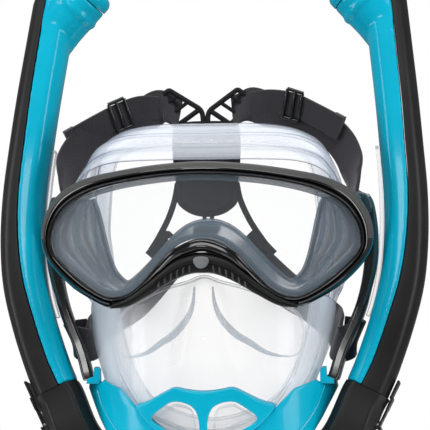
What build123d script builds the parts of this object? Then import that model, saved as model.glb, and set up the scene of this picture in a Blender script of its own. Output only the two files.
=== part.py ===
from build123d import *
import math
import os

# Full-face snorkel mask with a snorkel tube on each side. Millimetres.
# X points to the wearer's left, Y runs backwards into the head, Z is up. The origin is the centre of the eye
# opening of the face seal. Everything is symmetric about X = 0 except the soft straps.

os.makedirs("parts", exist_ok=True)

# ---------------------------------------------------------------- driving sizes
BLOCK = 400.0                 # cutter size, larger than the object
GAP = 0.3                     # clearance between pieces that touch

FRAME_AXIS_Y = 218.0          # axis of the curved front of the goggle frame
FRAME_R = 250.0               # front face of the goggle frame
FRAME_BACK_R = 239.0          # back face of the goggle frame
LENS_R = 247.8                # front face of the lens
LENS_THICK = 2.3
BEZEL_THICK = 3.4
NOSE_R = 251.2                # the nose saddle stands a little proud

SHELL_AXIS_Y = 42.0           # axis of the curved lower face shell
SHELL_R = 72.0
SHELL_THICK = 2.0
POCKET_R = 64.0               # inner nose and mouth cup
POCKET_THICK = 2.0
CHIN_R = 76.0                 # front face of the chin frame
GRILLE_R = 79.5               # front face of the valve grille
GRILLE_THICK = 2.5

FACE_AXIS_Y = 96.0            # axis of the curved face that the seal rests on
FACE_R = 88.0
SKIRT_WALL = 2.4
LIP_WIDTH = 10.0
LIP_THICK = 2.4

TUBE_HALF_WIDTH = 12.6        # snorkel tube section, side to side
TUBE_WALL = 2.2
PLUG_DEPTH = 22.0
CANISTER_R = 15.0             # dry-top chamber
CANISTER_WALL = 2.2
CAP_LENGTH = 8.0
RAIL_HALF_X = 3.0
RAIL_HALF_Y = 5.0

PORT_INSET = 2.5              # valve ports are smaller than the grille windows
FLAP_X = 15.8
FLAP_THICK = 0.8
PURGE_R = 12.4
PURGE_Y = 2.0
JUNCTION_LOW = (-32, -13, -138)
JUNCTION_HIGH = (32, 17, -110)
PLUG_U = 10.0                 # oval plug, half sizes
PLUG_V = 10.8
SOCKET_U = 10.5
SOCKET_V = 11.3

# ---------------------------------------------------------------- outlines, right half
FRAME_OUTER = [(0, 44.8), (24, 43.3), (47, 39.8), (64, 35.6), (78, 28), (86.5, 16),
               (88.8, 3), (85.2, -7.7), (74, -19.6), (61, -27.9), (50, -32.4),
               (40, -31), (29, -25.2), (18.4, -18.8), (8, -14.1), (0, -13.2)]
FRAME_INNER = [(0, 38.2), (24, 36.8), (47, 33), (62, 28.3), (73.6, 21.2), (80.2, 12),
               (82.4, 3), (80.6, -4), (71, -13.6), (60, -21.8), (50, -26.1),
               (40, -24.2), (31, -17), (23.7, -8.9), (15, -0.6), (0, 4.6)]
NOSE_SPLIT = [(0, -3.5), (13, -6.5), (22, -12.8), (31, -20), (40, -26.2), (48, -29.6)]
NOSE_FLOOR = [(50, -45), (0, -40)]
SHELL_EDGE = [(0, -1), (14, -3), (26, -13), (40, -22), (55, -27), (66, -33),
              (66.3, -44), (64.6, -54), (61, -64), (57, -74), (46, -92), (26, -108),
              (0, -112)]
CHIN_INNER = [(57.2, -73.4), (49.1, -77.2), (38.5, -87.6), (27.5, -97), (15, -104.5),
              (0, -107.5)]
CHIN_OUTER = [(0, -124), (20, -122), (38, -116), (52, -107), (60.5, -94), (68.3, -79),
              (67.4, -74.2), (58.6, -74.2)]
GRILLE_TOP = [(0, -75.3), (9.4, -74.3), (15.3, -72.9), (20, -75.4), (30.8, -81.6),
              (37.5, -83.2)]
GRILLE_LOW = [(36.2, -86.4), (26.5, -96), (14, -103.4), (0, -106.2)]
WINDOW = [(4.9, -84.6), (9.5, -82), (15.8, -81.2), (19.5, -83.4), (29, -90.2),
          (20, -94.4), (9, -99.6), (3.4, -100.6), (2.9, -92)]
POCKET_EDGE = [(0, 8), (9, 3), (18, -10), (32, -22), (46, -30), (50.5, -44), (49, -58),
               (43, -74), (28, -92), (0, -98)]
# skirt outlines at the front, at the middle and at the face
SKIRT_FRONT = [(0, 41), (28, 39.5), (55, 34.5), (72, 24), (81, 6), (77, -10), (70.5, -24),
               (67, -40), (63.5, -56), (55, -76), (37, -97), (0, -107)]
SKIRT_MIDDLE = [(0, 63.5), (27, 62), (50.5, 55.5), (65, 42), (77, 8), (75, -10),
                (70.5, -24), (66.5, -40), (62.5, -56), (54, -76), (36, -96), (0, -106)]
SKIRT_REAR = [(0, 64), (26, 62.5), (49, 56), (62.5, 44), (66.5, 10), (64.5, -8),
              (62.5, -24), (60.5, -40), (57, -56), (49, -76), (33, -95), (0, -105)]

# head harness plate and its arms, measured from its own middle line
HARNESS_X = -6.0
PAD_Y = 50.0
PAD_EDGE = [(0, 64.5), (18.5, 63), (19.2, 42), (17, 29), (16.6, 17), (10, 11.8), (0, 10.4)]
UPPER_ARM = [(2.2, 62), (2.6, 68.5), (9.2, 70.5)]
LOWER_ARM = [(15, 16), (20, 9), (25.5, -0.5)]
# webbing routes: a point, and the direction of the webbing's width there
RIGHT_UPPER_STRAP = [((77.9, 16, 12), (-0.15, 0.99, 0)), ((77.9, 16, 28.5), (-0.15, 0.99, 0)),
                     ((77.6, 20, 36), (-0.3, 0.9, 0.1)), ((75.2, 28, 44), (-0.6, 0.8, 0)),
                     ((68.5, 34, 54.5), (-0.6, 0.6, -0.5)), ((54, 39, 64), (-0.4, 0.4, -0.8)),
                     ((38, 43.5, 69.5), (-0.1, 0.2, -1)), ((24, 46, 70.5), (0, 0.1, -1))]
LEFT_UPPER_STRAP = [((-77.9, 16, 12), (0.15, 0.99, 0)), ((-77.9, 16, 28.5), (0.15, 0.99, 0)),
                    ((-78, 20, 36), (0.3, 0.9, 0.1)), ((-76.5, 28, 45), (0.6, 0.8, 0)),
                    ((-69, 33.5, 55.5), (0.6, 0.6, -0.5)), ((-57, 38, 62.5), (0.4, 0.4, -0.8)),
                    ((-45, 42.5, 66.5), (0.2, 0.2, -1)), ((-35, 45.5, 69.5), (0.1, 0.1, -1))]
LOWER_STRAP = [((74.3, 16, -53.5), (0.3, 0, 1)), ((73, 28, -50), (0.3, 0, 1)),
               ((63, 43, -40), (0.4, 0.3, 0.8)), ((52, 53, -29), (0.5, 0.3, 0.8)),
               ((40, 57.5, -18), (0.6, 0, 0.8))]

ANCHOR_PLACE = Pos(77.9, 16, 21.5) * Rot(0, 0, 8.6)   # where the strap passes the temple lug

# ---------------------------------------------------------------- tube centreline
# x, y, z of the centre, and where the black spine meets the coloured body
PLUG_AXIS = (0.437, 0.21, 0.8746)
TUBE_PATH = [(84.7, 3, -79.5, -3.5), (90.3, 6, -66.6, -3.0), (97.9, 10.5, -44.6, -2.6),
             (103.6, 16, -22.6, -1.4), (105.8, 22.5, 0, 0.0), (105.6, 30.5, 24, 1.0),
             (103.3, 39.5, 50, 1.4), (100.7, 50, 76, 1.9), (97.4, 62, 104, 2.3),
             (94.0, 74, 132, 2.6), (91.8, 81, 148, 2.8)]
CANISTER_START = (95.5, 70.0, 115.5)
CANISTER_END = (71.4, 72.8, 141.4)
CROWN_CENTRE = (76, 70, 118)  # the top of each tube is rounded about this point
CROWN_R = 33.0
RAIL_PATH = [(83.2, 12, 22.5), (85.6, 15.5, 12), (86.4, 16.5, 0), (85.6, 16, -14),
             (83.2, 14.5, -28), (77.6, 10.5, -44.5), (72.6, 7, -55), (68.5, 3.5, -66),
             (65.8, 0.5, -73.9)]
STRAP_HALF_WIDTH = 10.0
STRAP_HALF_THICK = 1.1


# ---------------------------------------------------------------- helpers
def loop(half):
    """Close a right half outline by mirroring it about X = 0."""
    mirrored = [(-x, z) for x, z in reversed(half) if x > 0]
    return half + mirrored


def shifted(points, distance):
    """Move every point of a closed loop inwards by a distance."""
    count = len(points)
    area = sum(points[i - 1][0] * points[i][1] - points[i][0] * points[i - 1][1] for i in range(count))
    side = 1.0 if area < 0 else -1.0
    moved = []
    for i, (x, z) in enumerate(points):
        ahead = points[(i + 1) % count]
        behind = points[i - 1]
        dx = ahead[0] - behind[0]
        dz = ahead[1] - behind[1]
        length = math.hypot(dx, dz)
        moved.append((x + side * distance * dz / length, z - side * distance * dx / length))
    return moved


def smooth_face(points, y):
    """A face at depth y, bounded by one smooth closed curve."""
    return make_face(Spline([(x, y, z) for x, z in points], periodic=True))


def smooth_slab(points, front=-70.0, back=60.0):
    return extrude(smooth_face(points, front), amount=back - front, dir=(0, 1, 0))


def straight_slab(points, front=-70.0, back=60.0):
    face = make_face(Polyline([(x, front, z) for x, z in points], close=True))
    return extrude(face, amount=back - front, dir=(0, 1, 0))


def column(radius, axis_y):
    """A vertical cylinder about the line X = 0, Y = axis_y."""
    return Pos(0, axis_y, 0) * Cylinder(radius, BLOCK)


def curved_sheet(outer_radius, inner_radius, axis_y):
    return column(outer_radius, axis_y) - column(inner_radius, axis_y)


def skin_loft(outlines, depths, inset):
    faces = [smooth_face(shifted(loop(half), inset), y) for half, y in zip(outlines, depths)]
    return loft(faces)


def box_between(low, high):
    size = [b - a for a, b in zip(low, high)]
    centre = [(a + b) / 2 for a, b in zip(low, high)]
    return Pos(*centre) * Box(*size)


def mirror_x(shape):
    return mirror(shape, about=Plane.YZ)


def unit(vector):
    return vector.normalized()


def section_plane(origin, tangent):
    """Plane across the tube: local x points outwards, local y points to the back."""
    tangent = unit(tangent)
    outward = unit(Vector(1, 0, 0) - tangent * tangent.X)
    return Plane(origin=origin, x_dir=outward, z_dir=tangent)


def rounded_face(points, radius, sharp=()):
    """A flat polygon on XY with rounded corners, except those listed as sharp."""
    face = make_face(Polyline(points, close=True))
    corners = []
    for index, point in enumerate(points):
        if index not in sharp:
            target = Vector(point[0], point[1], 0)
            corners.append(min(face.vertices(), key=lambda v: (Vector(v.X, v.Y, v.Z) - target).length))
    return fillet(corners, radius)


def path_planes(path):
    """Section planes along a path, square to it at each point."""
    points = [Vector(*p[:3]) for p in path]
    planes = []
    for i, point in enumerate(points):
        ahead = points[min(i + 1, len(points) - 1)]
        behind = points[max(i - 1, 0)]
        planes.append(section_plane(point, ahead - behind))
    return planes


def rectangle_loft(planes, half_u, half_v, centre_u=0.0):
    return loft([plane * (Pos(centre_u, 0, 0) * Rectangle(2 * half_u, 2 * half_v)) for plane in planes])


def bar(points, width, front, back):
    """A flat bar that follows a polyline in the XZ plane, with round corners."""
    pieces = []
    for (x0, z0), (x1, z1) in zip(points, points[1:]):
        turn = -math.degrees(math.atan2(z1 - z0, x1 - x0))
        length = math.hypot(x1 - x0, z1 - z0)
        centre = Pos((x0 + x1) / 2, (front + back) / 2, (z0 + z1) / 2)
        pieces.append(centre * Rot(0, turn, 0) * Box(length, back - front, width))
    for x, z in points:
        pieces.append(Pos(x, (front + back) / 2, z) * Rot(90, 0, 0) * Cylinder(width / 2, back - front))
    whole = pieces[0]
    for piece in pieces[1:]:
        whole = whole + piece
    return whole


def save(name, shape):
    solids = shape.solids()
    shape = solids[0] if len(solids) == 1 else Compound(children=list(solids))
    export_step(shape, "parts/" + name + ".step")


def save_pair(name, right_shape):
    save("right_" + name, right_shape)
    save("left_" + name, mirror_x(right_shape))


# ---------------------------------------------------------------- goggle front
def goggle_frame():
    ring = smooth_slab(loop(FRAME_OUTER)) - smooth_slab(loop(FRAME_INNER))
    frame = ring & curved_sheet(FRAME_R, FRAME_BACK_R, FRAME_AXIS_Y)
    return frame - straight_slab(loop(NOSE_SPLIT + NOSE_FLOOR))


def nose_bridge():
    half = [(x, z - GAP) for x, z in NOSE_SPLIT] + NOSE_FLOOR
    saddle = straight_slab(loop(half)) & smooth_slab(loop(FRAME_OUTER))
    saddle = saddle & curved_sheet(NOSE_R, FRAME_BACK_R, FRAME_AXIS_Y)
    groove_depth = 0.9
    for side in (-1, 1):
        for step in range(6):
            x = side * (9.5 + 3.4 * step)
            z = -13.5 - 2.1 * step
            turn = side * 35
            groove = Pos(x, 0, z) * Rot(0, turn, 0) * Box(1.1, BLOCK, 7.0)
            cut = groove & curved_sheet(NOSE_R + 5, NOSE_R - groove_depth, FRAME_AXIS_Y)
            saddle = saddle - (cut & box_between((-90, -60, -60), (90, 60, 60)))
    return saddle


def nose_stud():
    shape = [(-4.9, -4.4), (4.9, -4.4), (2.8, -10.6), (-2.8, -10.6)]
    stud = straight_slab(shape) & curved_sheet(NOSE_R + 1.4, NOSE_R + 0.02, FRAME_AXIS_Y)
    return stud


def lens():
    edge = shifted(loop(FRAME_INNER), 0.15)
    return smooth_slab(edge) & curved_sheet(LENS_R, LENS_R - LENS_THICK, FRAME_AXIS_Y)


def lens_bezel():
    outer = shifted(loop(FRAME_INNER), 0.15)
    inner = shifted(loop(FRAME_INNER), 3.0)
    ring = smooth_slab(outer) - smooth_slab(inner)
    back_of_lens = LENS_R - LENS_THICK - 0.02
    return ring & curved_sheet(back_of_lens, back_of_lens - BEZEL_THICK, FRAME_AXIS_Y)


# ---------------------------------------------------------------- soft seal
def face_skirt():
    outlines = [SKIRT_FRONT, SKIRT_MIDDLE, SKIRT_REAR]
    depths = [-26.0, 8.0, 42.0]
    wall = skin_loft(outlines, depths, 0) - skin_loft(outlines, depths, SKIRT_WALL)
    wall = wall & column(FRAME_BACK_R - GAP, FRAME_AXIS_Y)
    below_goggles = box_between((-150, -100, -200), (150, 100, -28))
    wall = wall - (below_goggles - column(SHELL_R - SHELL_THICK - GAP, SHELL_AXIS_Y))
    wall = wall - column(FACE_R, FACE_AXIS_Y)
    lip_outer = shifted(loop(SKIRT_REAR), 0.6)
    lip_inner = shifted(loop(SKIRT_REAR), LIP_WIDTH)
    lip = smooth_slab(lip_outer) - smooth_slab(lip_inner)
    lip = lip & curved_sheet(FACE_R + LIP_THICK, FACE_R, FACE_AXIS_Y)
    return wall + lip


def goggle_room():
    """Everything in front of the goggle frame's back face, inside its outline."""
    return smooth_slab(shifted(loop(FRAME_OUTER), -GAP)) - column(FRAME_BACK_R - GAP, FRAME_AXIS_Y)


def orinasal_pocket():
    slab = smooth_slab(loop(POCKET_EDGE), -70, 30)
    cup = slab & curved_sheet(POCKET_R, POCKET_R - POCKET_THICK, SHELL_AXIS_Y)
    return cup - goggle_room()


# ---------------------------------------------------------------- lower face
def window_slab(side, inset):
    points = [(side * x, z) for x, z in shifted(WINDOW, inset)]
    return straight_slab(points, -70, 0)


def mouth_shell():
    slab = smooth_slab(loop(SHELL_EDGE), -70, 40)
    shell = slab & curved_sheet(SHELL_R, SHELL_R - SHELL_THICK, SHELL_AXIS_Y)
    shell = shell - window_slab(1, PORT_INSET) - window_slab(-1, PORT_INSET)
    shell = shell - goggle_room()
    return max(shell.solids(), key=lambda solid: solid.volume)


def chin_frame():
    right = straight_slab(CHIN_INNER + CHIN_OUTER, -70, 41)
    band = right + mirror_x(right)
    band = band & curved_sheet(CHIN_R, SHELL_R + 0.02, SHELL_AXIS_Y)
    hook = box_between((60.2, -6, -76), (62.6, 1.5, -66.4))
    sleeve = socket_block(GAP)
    return band + hook + mirror_x(hook) - sleeve - mirror_x(sleeve)


def valve_grille():
    outline = loop(GRILLE_TOP + GRILLE_LOW)
    block = straight_slab(outline, -70, 0)
    ring = block - straight_slab(shifted(outline, 2.4), -70, 0)
    face = block - window_slab(1, 0) - window_slab(-1, 0)
    face = face & curved_sheet(GRILLE_R, GRILLE_R - GRILLE_THICK, SHELL_AXIS_Y)
    rim = ring & curved_sheet(GRILLE_R - 1, SHELL_R + 0.02, SHELL_AXIS_Y)
    return face + rim


def exhale_flap():
    """A thin flat membrane that lies over the right port and hangs from its top edge."""
    turn = math.degrees(math.asin(FLAP_X / SHELL_R))
    flat = straight_slab([(x - FLAP_X, z) for x, z in shifted(WINDOW, 1.0)], -FLAP_THICK, 0)
    stand_off = SHELL_R + 0.15
    centre = Pos(0, SHELL_AXIS_Y, 0) * Rot(0, 0, turn) * Pos(0, -stand_off, 0)
    return centre * flat


def purge_parts():
    """Housing under the chin with its drain valve: seat, loose disc and slotted cover."""
    body = box_between(JUNCTION_LOW, JUNCTION_HIGH)
    body = fillet(body.edges(), 5.0)
    neck = Pos(0, PURGE_Y, -111) * Cylinder(10, 6)
    cavity = box_between((-27, JUNCTION_LOW[1] + 3, -128), (27, JUNCTION_HIGH[1] - 3, -115))
    floor = JUNCTION_LOW[2]
    pocket = Pos(0, PURGE_Y, floor + 4) * Cylinder(PURGE_R, 8 + 0.02)
    side_bore = Pos(0, PURGE_Y, -122) * Rot(0, 90, 0) * Cylinder(7.5, 80)
    body = body + neck - cavity - pocket - side_bore - Pos(0, PURGE_Y, -110) * Cylinder(7, 14)
    body = body - (Pos(0, PURGE_Y, -129) * Cylinder(PURGE_R - 3, 6))
    seat = Pos(0, PURGE_Y, floor + 7.0) * (Cylinder(PURGE_R - 0.05, 2) - Cylinder(8.5, 2))
    for turn in (0, 60, 120):
        seat = seat + Pos(0, PURGE_Y, floor + 7.0) * Rot(0, 0, turn) * Box(17.4, 1.4, 2)
    disc = Pos(0, PURGE_Y, floor + 5.5) * Cylinder(10.8, 0.8)
    cover = Pos(0, PURGE_Y, floor + 1.0) * Cylinder(PURGE_R - 0.05, 2)
    cover = cover + Pos(0, PURGE_Y, floor + 3.0) * (Cylinder(PURGE_R - 0.05, 2.4) - Cylinder(11.2, 2.4))
    for row in range(-2, 3):
        half = math.sqrt(9.0 ** 2 - (3.4 * row) ** 2)
        cover = cover - Pos(0, PURGE_Y + 3.4 * row, floor + 1.0) * Box(2 * half, 1.6, 4)
    return body, seat, disc, cover


# ---------------------------------------------------------------- rails and straps
def side_rail():
    sections = []
    for plane in path_planes(RAIL_PATH):
        face = fillet(Rectangle(2 * RAIL_HALF_X, 2 * RAIL_HALF_Y).vertices(), 1.6)
        sections.append(plane * face)
    rail = loft(sections)
    return rail & box_between((0, -50, -73.95), (150, 50, 60))


def strap_anchor(rail):
    """Lug behind the temple, slotted for the upper strap; its top slopes outwards."""
    lug = ANCHOR_PLACE * Box(4.9, 26, 13)
    lug = lug + box_between((79.2, -16, 15), (82.6, 8, 28))
    lug = lug & column(FRAME_BACK_R - 0.02, FRAME_AXIS_Y)
    lug = lug & straight_slab([(70, 14.9), (70, 28), (78, 28), (82.6, 24), (82.6, 14.9)])
    lug = lug - ANCHOR_PLACE * Box(2 * STRAP_HALF_THICK + 0.6, 2 * STRAP_HALF_WIDTH + 0.6, 40) - rail
    return max(lug.solids(), key=lambda solid: solid.volume)


def strap(route):
    """Flat webbing through points (x, y, z), each with the direction of its width."""
    centres = [Vector(*point) for point, width in route]
    sections = []
    for i, (point, width) in enumerate(route):
        behind = i - 1 if i > 1 else 0
        ahead = i + 1 if i > 1 else 1
        along = unit(centres[min(ahead, len(route) - 1)] - centres[behind])
        across = Vector(*width)
        across = unit(across - along * across.dot(along))
        plane = Plane(origin=centres[i], x_dir=across, z_dir=along)
        sections.append(plane * Rectangle(2 * STRAP_HALF_WIDTH, 2 * STRAP_HALF_THICK))
    return loft(sections, ruled=True)


def lower_strap(rail):
    """Webbing looped round the right rail, with its tail running back to the harness."""
    near = path_planes(RAIL_PATH)[5:8]
    outer = rectangle_loft(near, RAIL_HALF_X + 2.3, RAIL_HALF_Y + 2.5)
    inner = rectangle_loft(near, RAIL_HALF_X + 0.35, RAIL_HALF_Y + 0.35)
    ring = outer - inner
    ring = ring & box_between((0, -50, -63.5), (150, 50, -46.0))
    return ring + strap(LOWER_STRAP) - rail


# ---------------------------------------------------------------- head harness
def harness_pad():
    plate = smooth_slab([(HARNESS_X + x, z) for x, z in loop(PAD_EDGE)], PAD_Y, PAD_Y + 3)
    for side in (-1, 1):
        upper = [(HARNESS_X + side * x, z) for x, z in UPPER_ARM]
        lower = [(HARNESS_X + side * x, z) for x, z in LOWER_ARM]
        plate = plate + bar(upper, 4.0, PAD_Y, PAD_Y + 3) + bar(lower, 3.4, PAD_Y, PAD_Y + 3)
        tab_centre = Pos(HARNESS_X + side * 28.5, PAD_Y + 1.5, -5.5)
        tab = tab_centre * Rot(0, side * 47, 0) * (Box(17, 3, 9) - Pos(5.5, 0, 0) * Rot(90, 0, 0) * Cylinder(1, 8))
        buckle = Pos(HARNESS_X + side * 18, PAD_Y + 1.5, 72) * Rot(0, -side * 33, 0)
        slots = Pos(side * 6.3, 0, 0) * Box(3.4, 8, 17) + Pos(side * -2.0, 0, 0) * Box(9, 8, 15)
        plate = plate + tab + buckle * Box(20, 3, 21) - buckle * slots
    return plate


# ---------------------------------------------------------------- snorkel tubes
def body_section(edge):
    """Coloured half, from the front seam round the inner side to the back seam."""
    return [(edge, -13), (-8.3, -12.2), (-12.6, -4.5), (-12.6, 5), (-8, 12.5), (edge, 13.5)]


def spine_section(edge):
    start = edge + 0.12
    return [(start, -13), (7.5, -12), (12.2, -6), (12.6, 3), (8.5, 12), (start, 13.5)]


def inner_section(points, wall):
    centre_u = sum(p[0] for p in points) / len(points)
    span_u = max(p[0] for p in points) - min(p[0] for p in points)
    span_v = max(p[1] for p in points) - min(p[1] for p in points)
    shrink_u = (span_u - 2 * wall) / span_u
    shrink_v = (span_v - 2 * wall) / span_v
    return [(centre_u + (u - centre_u) * shrink_u, v * shrink_v) for u, v in points]


def tube_loft(section, stations, wall=0.0, radius=2.0, sharp=(0, 5)):
    faces = []
    for plane, edge in stations:
        points = section(edge)
        if wall:
            points = inner_section(points, wall)
        faces.append(plane * rounded_face(points, radius, sharp))
    return loft(faces)


def tube_pieces():
    planes = path_planes(TUBE_PATH)
    planes[0] = section_plane(Vector(*TUBE_PATH[0][:3]), Vector(*PLUG_AXIS))
    stations = [(plane, p[3]) for plane, p in zip(planes, TUBE_PATH)]
    body = tube_loft(body_section, stations)
    spine_block = tube_loft(spine_section, stations)
    spine = spine_block - tube_loft(spine_section, stations[:-1], TUBE_WALL, 1.0, (0, 5))

    start = Vector(*CANISTER_START)
    end = Vector(*CANISTER_END)
    axis = unit(end - start)
    along = Plane(origin=start, x_dir=(0, -1, 0), z_dir=axis)
    length = (end - start).length
    seam = length - CAP_LENGTH
    chamber = along * Pos(0, 0, seam / 2) * Cylinder(CANISTER_R, seam)
    body = body + (chamber - spine_block)
    channel = tube_loft(body_section, stations[:-1], TUBE_WALL, 1.0, (0, 5))
    hollow = along * Pos(0, 0, seam / 2 + 4) * Cylinder(CANISTER_R - CANISTER_WALL, seam - 8 + 0.02)
    body = body - channel - (hollow - spine_block)
    body = body - along * Pos(0, 0, seam - 2) * Cylinder(CANISTER_R - CANISTER_WALL, 4.02)
    body = body - along * Pos(0, 0, seam + 20) * Cylinder(CANISTER_R + GAP, 40)
    crown = Pos(*CROWN_CENTRE) * Rot(90, 0, 0) * Cylinder(CROWN_R, BLOCK)
    crown = crown + box_between((-BLOCK, -BLOCK, -BLOCK), (BLOCK, BLOCK, CROWN_CENTRE[2] + 6))
    body = max((body & crown).solids(), key=lambda solid: solid.volume)
    spine = spine & crown

    cap = along * Pos(0, 0, seam + 0.1 + CAP_LENGTH / 2) * Cylinder(CANISTER_R, CAP_LENGTH)
    far_edge = cap.edges().sort_by(lambda edge: (edge.center() - start).dot(axis))[-1]
    cap = fillet(far_edge, 5.0)
    cap = cap - along * Pos(0, 0, seam + 2.5) * Cylinder(CANISTER_R - CANISTER_WALL, 6.0)
    for turn in range(0, 360, 60):
        cap = cap - along * Rot(0, 0, turn) * Pos(5.5, 0, length) * Box(5.5, 2.2, 8)

    seat = along * Pos(0, 0, seam + 4.4) * (Cylinder(12.5, 1.6) - Cylinder(8.2, 1.6))
    floater = along * Pos(0, 0, seam - 5.5) * Cylinder(10, 7)
    strip_planes = planes[2:7]
    strip = rectangle_loft(strip_planes, 0.95, 3.0, -TUBE_HALF_WIDTH - 1.35)
    return body, spine, cap, seat, floater, strip


# ---------------------------------------------------------------- plug, socket and latch
def plug_plane(distance):
    """Plane across the plug axis, at a distance above the tube's lower end."""
    origin = Vector(*TUBE_PATH[0][:3]) + unit(Vector(*PLUG_AXIS)) * distance
    return section_plane(origin, Vector(*PLUG_AXIS))


def oval(low, high, half_u, half_v):
    return extrude(plug_plane(low) * Ellipse(half_u, half_v), amount=high - low, dir=unit(Vector(*PLUG_AXIS)))


def on_sleeve(low, high):
    """Box in the sleeve's own axes: u outwards, v to the back, s up the plug axis."""
    size = [b - a for a, b in zip(low, high)]
    centre = [(a + b) / 2 for a, b in zip(low, high)]
    return plug_plane(0) * Pos(*centre) * Box(*size)


def tube_plug():
    pipe = oval(-PLUG_DEPTH, 0, PLUG_U, PLUG_V) - oval(-PLUG_DEPTH, 0, PLUG_U - 2.2, PLUG_V - 2.2)
    groove = oval(-15.5, -13, PLUG_U + 1, PLUG_V + 1) - oval(-15.5, -13, PLUG_U - 1, PLUG_V - 1)
    return pipe - groove


def plug_ring():
    return oval(-15.3, -13.2, PLUG_U + 0.35, PLUG_V + 0.35) - oval(-15.3, -13.2, PLUG_U - 0.9, PLUG_V - 0.9)


def sleeve_section(grown=0.0):
    points = [(-8.3, -12.6), (7.5, -12.4), (12.3, -6), (12.6, 4), (8.5, 12.6), (-8, 13), (-12.6, 5), (-12.6, -4.5)]
    return [(u * (1 + grown / 12), v * (1 + grown / 12)) for u, v in points]


def socket_stations():
    elbow = section_plane(Vector(60, -1.0, -114.5), Vector(0.78, 0.0, 0.62))
    mouth = Plane(origin=(32.3, PURGE_Y, -122), x_dir=(0, 0, -1), z_dir=(1, 0, 0))
    return [plug_plane(-GAP), plug_plane(-14), plug_plane(-28), elbow, mouth]


def socket_block(grown=0.0):
    return loft([plane * rounded_face(sleeve_section(grown), 3.0) for plane in socket_stations()])


def tube_socket():
    stations = socket_stations()
    outer = socket_block()
    bore = oval(-PLUG_DEPTH - 2, 0, SOCKET_U, SOCKET_V)
    passage = loft([stations[1] * Circle(7.2), stations[2] * Circle(7.2), stations[3] * Circle(7.2),
                    stations[4] * Circle(7.2)])
    ears = on_sleeve((10.9, 4.7, -17), (14.0, 6.2, -13)) + on_sleeve((10.9, -6.2, -17), (14.0, -4.7, -13))
    recess = on_sleeve((11.4, -4.7, -17.2), (15, 4.7, -12.8))
    body = outer - recess + (ears - bore) - bore - passage
    pin_hole = plug_plane(-15) * Pos(12.9, 0, 0) * Rot(90, 0, 0) * Cylinder(0.65, 14)
    return max((body - pin_hole).solids(), key=lambda solid: solid.volume)


def latch():
    """Release lever: a plate on the outside of the sleeve that rocks on a cross pin."""
    hook = on_sleeve((13.15, -6.5, -6), (14.5, 6.5, 11))
    web = on_sleeve((13.15, -4.4, -17.1), (14.5, 4.4, -6))
    button = on_sleeve((14.3, -6.5, -31), (15.7, 6.5, -15.5))
    boss = plug_plane(-15) * Pos(12.9, 0, 0) * Rot(90, 0, 0) * Cylinder(1.25, 8.8)
    bore = plug_plane(-15) * Pos(12.9, 0, 0) * Rot(90, 0, 0) * Cylinder(0.6, 14)
    return hook + web + button + boss - bore


def latch_pin():
    return plug_plane(-15) * Pos(12.9, 0, 0) * Rot(90, 0, 0) * Cylinder(0.55, 12.4)


# ---------------------------------------------------------------- write every node
for name, shape in (("goggle_frame", goggle_frame()), ("nose_bridge", nose_bridge()),
                    ("nose_stud", nose_stud()), ("lens", lens()), ("lens_bezel", lens_bezel()),
                    ("face_skirt", face_skirt()), ("orinasal_pocket", orinasal_pocket()),
                    ("mouth_shell", mouth_shell()), ("chin_frame", chin_frame()),
                    ("valve_grille", valve_grille()), ("harness_pad", harness_pad())):
    save(name, shape)

for name, shape in zip(("chin_junction", "purge_seat", "purge_membrane", "purge_cover"), purge_parts()):
    save(name, shape)

right_rail = side_rail()
save_pair("side_rail", right_rail)
save_pair("strap_anchor", strap_anchor(right_rail))
save_pair("lower_strap", lower_strap(right_rail))
save("right_upper_strap", strap(RIGHT_UPPER_STRAP))
save("left_upper_strap", strap(LEFT_UPPER_STRAP))
save_pair("exhale_flap", exhale_flap())

tube_names = ("tube", "tube_spine", "head_cap", "float_seat", "float", "tube_strip")
for name, shape in zip(tube_names, tube_pieces()):
    save_pair(name, shape)

save_pair("tube_plug", tube_plug())
save_pair("plug_ring", plug_ring())
save_pair("tube_socket", tube_socket())
save_pair("latch", latch())
save_pair("latch_pin", latch_pin())
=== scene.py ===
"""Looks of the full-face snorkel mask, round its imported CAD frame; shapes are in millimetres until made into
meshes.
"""
import math

import bmesh
import bpy
import numpy as np
from mathutils import Matrix, Vector


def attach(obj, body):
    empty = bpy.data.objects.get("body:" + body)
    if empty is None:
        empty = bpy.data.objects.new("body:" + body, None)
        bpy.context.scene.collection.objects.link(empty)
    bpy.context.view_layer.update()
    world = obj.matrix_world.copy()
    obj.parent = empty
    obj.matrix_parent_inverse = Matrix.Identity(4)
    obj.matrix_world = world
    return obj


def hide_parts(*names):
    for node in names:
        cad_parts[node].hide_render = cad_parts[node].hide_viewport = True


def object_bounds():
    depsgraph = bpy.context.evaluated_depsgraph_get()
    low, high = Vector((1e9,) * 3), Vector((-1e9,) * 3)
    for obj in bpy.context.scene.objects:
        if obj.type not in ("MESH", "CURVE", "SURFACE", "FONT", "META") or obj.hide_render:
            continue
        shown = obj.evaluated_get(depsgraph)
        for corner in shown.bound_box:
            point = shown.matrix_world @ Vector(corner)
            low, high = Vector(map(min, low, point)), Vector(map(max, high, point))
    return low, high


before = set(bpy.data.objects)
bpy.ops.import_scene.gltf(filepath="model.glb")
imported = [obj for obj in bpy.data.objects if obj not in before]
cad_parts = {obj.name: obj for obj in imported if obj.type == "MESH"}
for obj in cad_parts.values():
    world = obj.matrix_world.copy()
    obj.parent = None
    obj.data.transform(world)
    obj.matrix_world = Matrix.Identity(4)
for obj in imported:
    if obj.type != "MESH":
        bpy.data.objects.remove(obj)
cad_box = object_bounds()
MM = 0.001

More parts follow.
